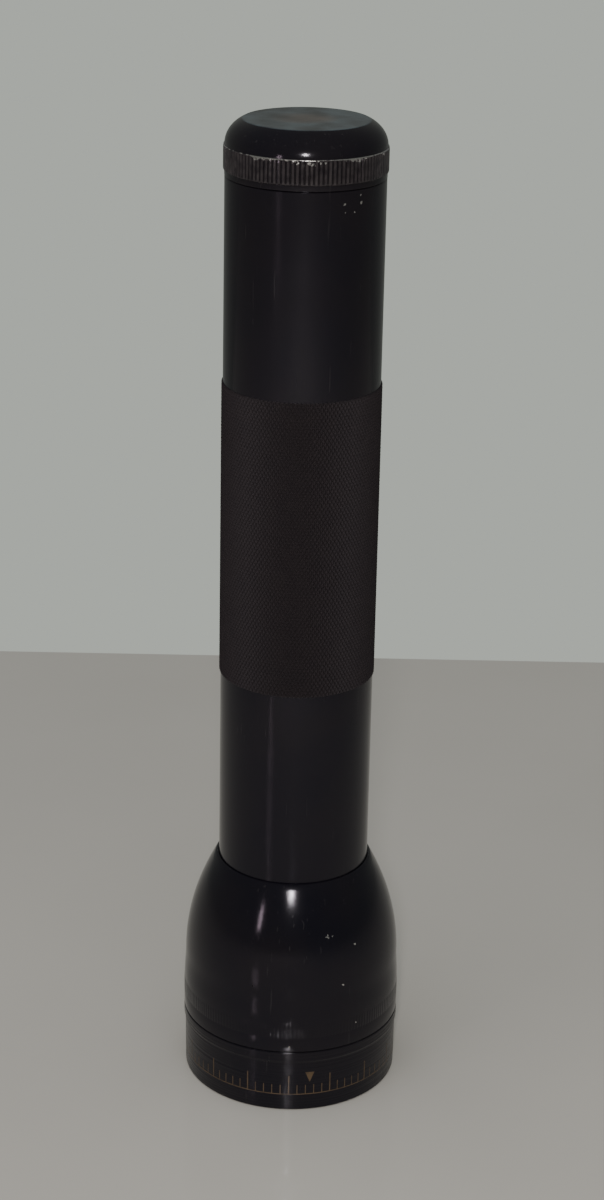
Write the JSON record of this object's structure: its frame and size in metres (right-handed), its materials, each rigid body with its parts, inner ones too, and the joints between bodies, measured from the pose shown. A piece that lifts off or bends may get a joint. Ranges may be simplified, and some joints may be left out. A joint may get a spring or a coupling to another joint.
{
  "type": "tactical flashlight",
  "caption": "Aluminium flashlight standing on its lens cap: knurled barrel, bell head turning to focus, screwed face and tail caps, side push button, cells and lamp inside.",
  "frame": {"origin": "middle of the face cap's rim, on the surface the flashlight stands on", "axes": "+Z along the barrel from the lens to the tail cap; +Y towards the push button"},
  "size_m": [0.0568, 0.0568, 0.254],
  "materials": {
    "anodised": "black anodised, satin gloss",
    "clear_lens": "clear, polished",
    "lamp_glass": "clear",
    "reflector_silver": "mirror bright",
    "rubber_seal": "matt",
    "boot_rubber": "matt",
    "lamp_metal": "bright",
    "filament": "dull",
    "black_plastic": "moulded",
    "white_plastic": "moulded",
    "spring_steel": "bright drawn",
    "contact_brass": "bright",
    "cell_jacket": "printed foil jacket, plain"
  },
  "bodies": {
    "barrel": {"barrel": "anodised", "switch_front_housing": "black_plastic", "switch_rear_housing": "black_plastic", "snap_ring": "spring_steel", "switch_boot": "boot_rubber", "boot_retainer": "white_plastic", "switch_spring": "spring_steel", "ground_contact": "contact_brass", "ground_set_screw": "spring_steel", "lamp_contact": "contact_brass", "battery_contact": "contact_brass", "lamp_spring": "spring_steel", "cell_1": "cell_jacket", "cell_1_terminal": "spring_steel", "cell_2": "cell_jacket", "cell_2_terminal": "spring_steel", "tail_spring": "spring_steel"},
    "head_seal": {"head_o_ring": "rubber_seal"},
    "head": {"head": "anodised", "reflector": "reflector_silver"},
    "lens": {"lens": "clear_lens", "face_cap_seal": "rubber_seal"},
    "face_cap": {"face_cap": "anodised"},
    "lamp": {"lamp_holder": "black_plastic", "lamp_collar": "black_plastic", "lamp_base": "lamp_metal", "lamp_glass": "lamp_glass", "lamp_filament": "filament"},
    "button": {"switch_plunger": "white_plastic"},
    "rotor": {"switch_rotor": "white_plastic"},
    "tail_seal": {"tail_cap_o_ring": "rubber_seal"},
    "tail_cap": {"tail_cap": "anodised", "spare_lamp_holder": "white_plastic", "spare_lamp_base": "lamp_metal", "spare_lamp_glass": "lamp_glass"}
  },
  "joints": [
    {"name": "head_slide", "type": "slide", "parent": "barrel", "child": "head_seal", "axis": [0, 0, -1], "range_m": [0, 0.00045]},
    {"name": "head_turn", "type": "hinge", "parent": "head_seal", "child": "head", "pos_m": [0, 0, 0.05], "axis": [0, 0, -1], "range_deg": [0, 90]},
    {"name": "lens_slide", "type": "slide", "parent": "head", "child": "lens", "axis": [0, 0, -1], "range_m": [0, 0.0075]},
    {"name": "face_cap_turn", "type": "hinge", "parent": "lens", "child": "face_cap", "pos_m": [0, 0, 0.01], "axis": [0, 0, -1], "range_deg": [0, 1800]},
    {"name": "lamp_focus", "type": "slide", "parent": "barrel", "child": "lamp", "axis": [0, 0, 1], "range_m": [0, 0.00255], "deforming": ["lamp_spring"]},
    {"name": "tail_seal_slide", "type": "slide", "parent": "barrel", "child": "tail_seal", "axis": [0, 0, 1], "range_m": [0, 0.009], "deforming": ["tail_spring"]},
    {"name": "tail_cap_turn", "type": "hinge", "parent": "tail_seal", "child": "tail_cap", "pos_m": [0, 0, 0.24], "axis": [0, 0, 1], "range_deg": [0, 1800]},
    {"name": "button_press", "type": "slide", "parent": "barrel", "child": "button", "axis": [0, -1, 0], "range_m": [0, 0.0025], "stiffness_N_per_m": 400, "springref_m": -0.001, "deforming": ["switch_spring", "switch_boot"]},
    {"name": "rotor_turn", "type": "hinge", "parent": "barrel", "child": "rotor", "pos_m": [0, 0.004, 0.09], "axis": [0, 1, 0], "range_deg": [0, 45]}
  ],
  "couplings": [
    {"joint": "head_slide", "follows": "head_turn", "m_per_rad": 0.00028647},
    {"joint": "lamp_focus", "follows": "head_turn", "m_per_rad": 0.0016233},
    {"joint": "lens_slide", "follows": "face_cap_turn", "m_per_rad": 0.00023873},
    {"joint": "tail_seal_slide", "follows": "tail_cap_turn", "m_per_rad": 0.00028647},
    {"joint": "rotor_turn", "follows": "button_press", "rad_per_m": 314}
  ]
}
